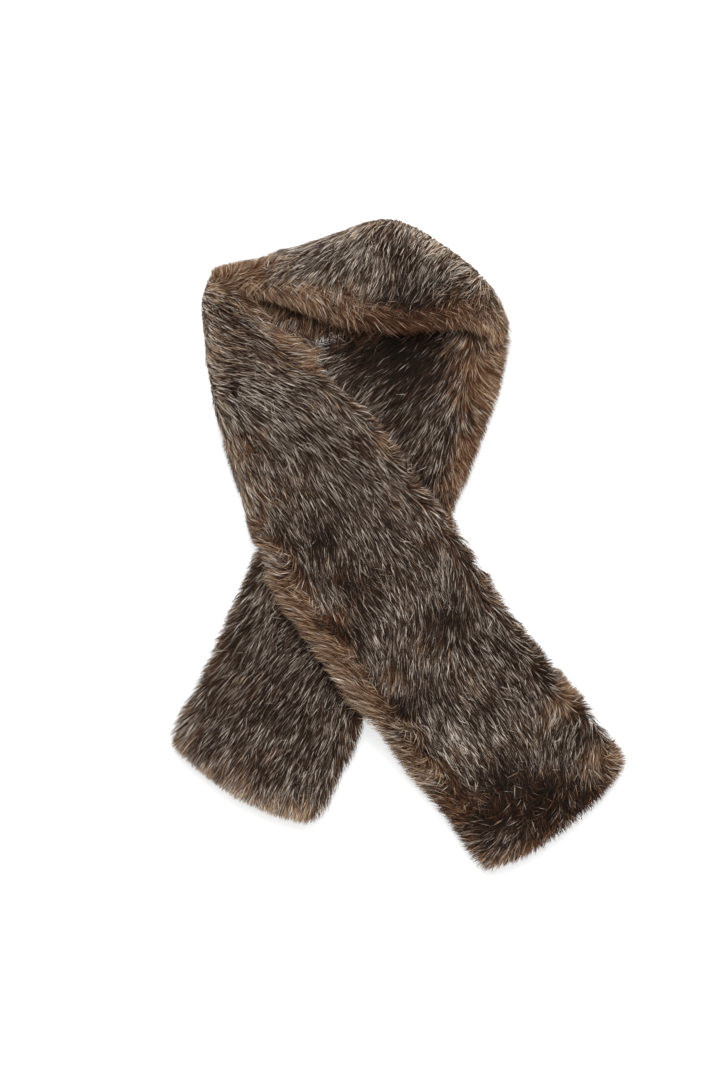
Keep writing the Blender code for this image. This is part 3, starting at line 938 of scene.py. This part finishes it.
def blades(name, kind, line, normal, width, twist, colour, start):
    """One mesh of hairs: each a strip that narrows to a point at its tip. start is where its colours do."""
    count, steps = line.shape[:2]
    course = unit(line[:, -1] - line[:, 0])
    flat = rotated(unit(np.cross(course, normal)), course, twist)
    half = flat[:, None] * (width[:, None] * np.array(kind.shape) / 2)[..., None]
    body = line[:, :-1]
    pairs = np.stack([body - half, body + half], axis=2).reshape(count, -1, 3)
    verts = np.concatenate([pairs, line[:, -1:]], axis=1)
    per = verts.shape[1]
    # Four-sided faces, and a triangle at the tip.
    corners = [2 * k + c for k in range(steps - 2) for c in (0, 1, 3, 2)] + [per - 3, per - 2, per - 1]
    loops = (np.arange(count)[:, None] * per + np.array(corners)).ravel()
    starts = (np.arange(count)[:, None] * len(corners) + 4 * np.arange(steps - 1)).ravel()
    mesh = bpy.data.meshes.new(name)
    mesh.vertices.add(count * per)
    mesh.vertices.foreach_set("co", verts.astype(np.float32).ravel())
    mesh.loops.add(len(loops))
    mesh.loops.foreach_set("vertex_index", loops.astype(np.int32))
    mesh.polygons.add(len(starts))
    mesh.polygons.foreach_set("loop_start", starts.astype(np.int32))
    mesh.polygons.foreach_set("use_smooth", np.ones(len(starts), bool))
    mesh.update(calc_edges=True)
    # The map's u is the hair's place in the range of colours, and its v runs from the root to the tip.
    at = np.repeat(kind.steps, 2)[:-1]
    side = np.array([-0.001, 0.001] * (steps - 1) + [0.0])
    u = colour[:, None] + side[corners]
    v = start[:, None] + (1 - start[:, None]) * at[corners]
    layer = mesh.uv_layers.new(name="OFBake")
    layer.data.foreach_set("uv", np.stack([u, v], axis=2).astype(np.float32).ravel())
    return mesh


# ---- Materials ----

# Colours of the pile from dark to light: place in the range, then the hair's root, middle and tip.
Shade = namedtuple("Shade", "place root middle tip")

SHADES = [
    Shade(0.00, (0.020, 0.016, 0.014), (0.012, 0.010, 0.009), (0.015, 0.012, 0.010)),
    Shade(0.12, (0.028, 0.017, 0.012), (0.015, 0.010, 0.008), (0.019, 0.012, 0.009)),
    Shade(0.34, (0.040, 0.020, 0.012), (0.030, 0.015, 0.010), (0.052, 0.030, 0.020)),
    Shade(0.44, (0.044, 0.022, 0.013), (0.046, 0.026, 0.017), (0.185, 0.140, 0.110)),
    Shade(0.62, (0.048, 0.026, 0.015), (0.087, 0.059, 0.043), (0.690, 0.600, 0.510)),
    Shade(0.66, (0.050, 0.020, 0.010), (0.042, 0.016, 0.008), (0.038, 0.015, 0.008)),
    Shade(0.82, (0.080, 0.034, 0.017), (0.108, 0.047, 0.024), (0.150, 0.070, 0.039)),
    Shade(1.00, (0.120, 0.058, 0.026), (0.250, 0.142, 0.072), (0.520, 0.375, 0.250)),
]

# Along a hair, where its root's colour ends, its middle's begins and ends, and its tip's begins.
ROOT_TO, MIDDLE_FROM = 0.05, 0.40
PALE_FROM, PALE_TO = 0.42, 0.76

WHITE = (1.0, 1.0, 1.0, 1.0)


def new_material(name):
    """A material, its nodes and its shader."""
    material = bpy.data.materials.new(name)
    material.use_nodes = True
    tree = material.node_tree
    return material, tree, tree.nodes["Principled BSDF"]


def set_inputs(node, values):
    """Sets a node's own values."""
    for name, value in values.items():
        node.inputs[name].default_value = value


def ramp(tree, stops, source):
    """A colour ramp fed by a socket."""
    node = tree.nodes.new("ShaderNodeValToRGB")
    elements = node.color_ramp.elements
    while len(elements) > 1:
        elements.remove(elements[0])
    elements[0].position, elements[0].color = stops[0][0], (*stops[0][1], 1.0)
    for place, colour in stops[1:]:
        elements.new(place).color = (*colour, 1.0)
    tree.links.new(source, node.inputs["Fac"])
    return node.outputs["Color"]


def blend(tree, source, low, high, first, second):
    """The first colour where a value is low, and the second where it is high."""
    share = tree.nodes.new("ShaderNodeMapRange")
    share.interpolation_type = "SMOOTHSTEP"
    set_inputs(share, {"From Min": low, "From Max": high})
    tree.links.new(source, share.inputs["Value"])
    mix = tree.nodes.new("ShaderNodeMix")
    mix.data_type = "RGBA"
    tree.links.new(share.outputs["Result"], mix.inputs["Factor"])
    tree.links.new(first, mix.inputs["A"])
    tree.links.new(second, mix.inputs["B"])
    return mix.outputs["Result"]


def pile_material():
    """Hair that is dark at its root and mostly paler at its tip."""
    material, tree, shader = new_material("pile")
    uv = tree.nodes.new("ShaderNodeUVMap")
    uv.uv_map = "OFBake"
    split = tree.nodes.new("ShaderNodeSeparateXYZ")
    tree.links.new(uv.outputs["UV"], split.inputs["Vector"])
    place, along = split.outputs["X"], split.outputs["Y"]
    parts = ("root", "middle", "tip")
    stops = ([(shade.place, getattr(shade, part)) for shade in SHADES] for part in parts)
    root, middle, tip = (ramp(tree, colours, place) for colours in stops)
    body = blend(tree, along, ROOT_TO, MIDDLE_FROM, root, middle)
    colour = blend(tree, along, PALE_FROM, PALE_TO, body, tip)
    tree.links.new(colour, shader.inputs["Base Color"])
    set_inputs(shader, {"Roughness": 0.6, "Specular IOR Level": 0.02})
    return material


def pelt_material():
    """The dark knitted backing, hidden by the pile."""
    material, tree, shader = new_material("pelt")
    noise = tree.nodes.new("ShaderNodeTexNoise")
    set_inputs(noise, {"Scale": 900.0})
    coordinates = tree.nodes.new("ShaderNodeTexCoord")
    tree.links.new(coordinates.outputs["Object"], noise.inputs["Vector"])
    colour = ramp(tree, [(0.3, (0.010, 0.008, 0.007)), (0.7, (0.030, 0.022, 0.018))], noise.outputs["Fac"])
    tree.links.new(colour, shader.inputs["Base Color"])
    bump = tree.nodes.new("ShaderNodeBump")
    set_inputs(bump, {"Distance": 0.0004})
    tree.links.new(noise.outputs["Fac"], bump.inputs["Height"])
    tree.links.new(bump.outputs["Normal"], shader.inputs["Normal"])
    set_inputs(shader, {"Roughness": 0.95})
    return material


def floor_material():
    """A plain white floor."""
    material, _, shader = new_material("floor")
    set_inputs(shader, {"Base Color": (0.5, 0.5, 0.5, 1.0), "Roughness": 1.0, "Specular IOR Level": 0.0})
    set_inputs(shader, {"Emission Color": WHITE, "Emission Strength": 0.65})
    return material


# ---- The scene ----

PIECE_TRIANGLES = 190000  # at most
ROLL_SEED = 9


def new_object(name, data):
    """An object in the scene."""
    thing = bpy.data.objects.new(name, data)
    bpy.context.scene.collection.objects.link(thing)
    return thing


def add(name, mesh, material):
    """An object of the wrap."""
    mesh.materials.append(material)
    thing = new_object(name, mesh)
    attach(thing, "root")
    return thing


def add_pile(name, stretch, grid, weigh, seed, material):
    """The hairs on a pelt."""
    rng = np.random.default_rng(seed)
    furs = []
    for kind in KINDS:
        hairs = make_hairs(stretch, kind, grid, weigh, rng)
        triangles = len(hairs[0]) * (2 * len(kind.steps) - 3)
        parts = np.array_split(np.arange(len(hairs[0])), math.ceil(triangles / PIECE_TRIANGLES))
        for n, part in enumerate(parts, 1):
            piece = f"{name}_{kind.name}_{n}"
            furs.append(add(piece, blades(piece, kind, *(values[part] for values in hairs)), material))
    return furs


def build_stretch(stretch, seed, pile, pelt):
    """A stretch's pelt and pile."""
    grid = tube_grid(stretch)
    name = stretch.name + "_pelt"
    body = add(name, shell_mesh(name, grid, CLOTH), pelt)
    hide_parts(*stretch.nodes)
    furs = add_pile(stretch.name, stretch, grid, lambda p, n: pile_weight(stretch, p, n), seed, pile)


def build_roll(seed, pile, pelt):
    """The roll of cloth along the crease and its pile."""
    grid = roll_grid()
    body = add("crease_pelt", shell_mesh("crease_pelt", grid, CLOTH), pelt)
    furs = add_pile("crease", STRETCHES[-1], grid, lambda p, n: np.ones(len(p)), seed, pile)


FLOOR_SIZE = 12.0
CAMERA_HEIGHT = 3.5
VIEW_HEIGHT = 0.832
VIEW_CENTRE = (-0.030, 0.0035)
SENSOR = 36.0
SHARP_PLANE = 0.025
WORLD_STRENGTH = 0.65
LAMP_PLACE = (0.0, 1.6, 3.2)
LAMP_SIZE = 1.6
LAMP_POWER = 115.0


def build_stage():
    """The floor, the light and the camera."""
    scene = bpy.context.scene
    bpy.ops.mesh.primitive_plane_add(size=FLOOR_SIZE)
    floor = bpy.context.object
    floor.name = "floor"
    floor.data.materials.append(floor_material())
    world = bpy.data.worlds.new("studio")
    world.use_nodes = True
    set_inputs(world.node_tree.nodes["Background"], {"Color": WHITE, "Strength": WORLD_STRENGTH})
    scene.world = world
    lamp = bpy.data.lights.new("softbox", "AREA")
    lamp.energy = LAMP_POWER
    lamp.size = LAMP_SIZE
    light = new_object("softbox", lamp)
    light.location = LAMP_PLACE
    light.rotation_euler = (Vector((0, 0, 0)) - Vector(LAMP_PLACE)).to_track_quat("-Z", "Y").to_euler()
    lens = bpy.data.cameras.new("camera")
    lens.lens = SENSOR * (CAMERA_HEIGHT - SHARP_PLANE) / VIEW_HEIGHT
    lens.sensor_width = SENSOR
    lens.clip_end = 50.0
    camera = new_object("camera", lens)
    camera.location = (*VIEW_CENTRE, CAMERA_HEIGHT)
    scene.camera = camera
    scene.view_settings.view_transform = "Standard"


def main():
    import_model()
    pile, pelt = pile_material(), pelt_material()
    for seed, stretch in enumerate(STRETCHES, 1):
        build_stretch(stretch, seed, pile, pelt)
    build_roll(ROLL_SEED, pile, pelt)
    build_stage()


main()
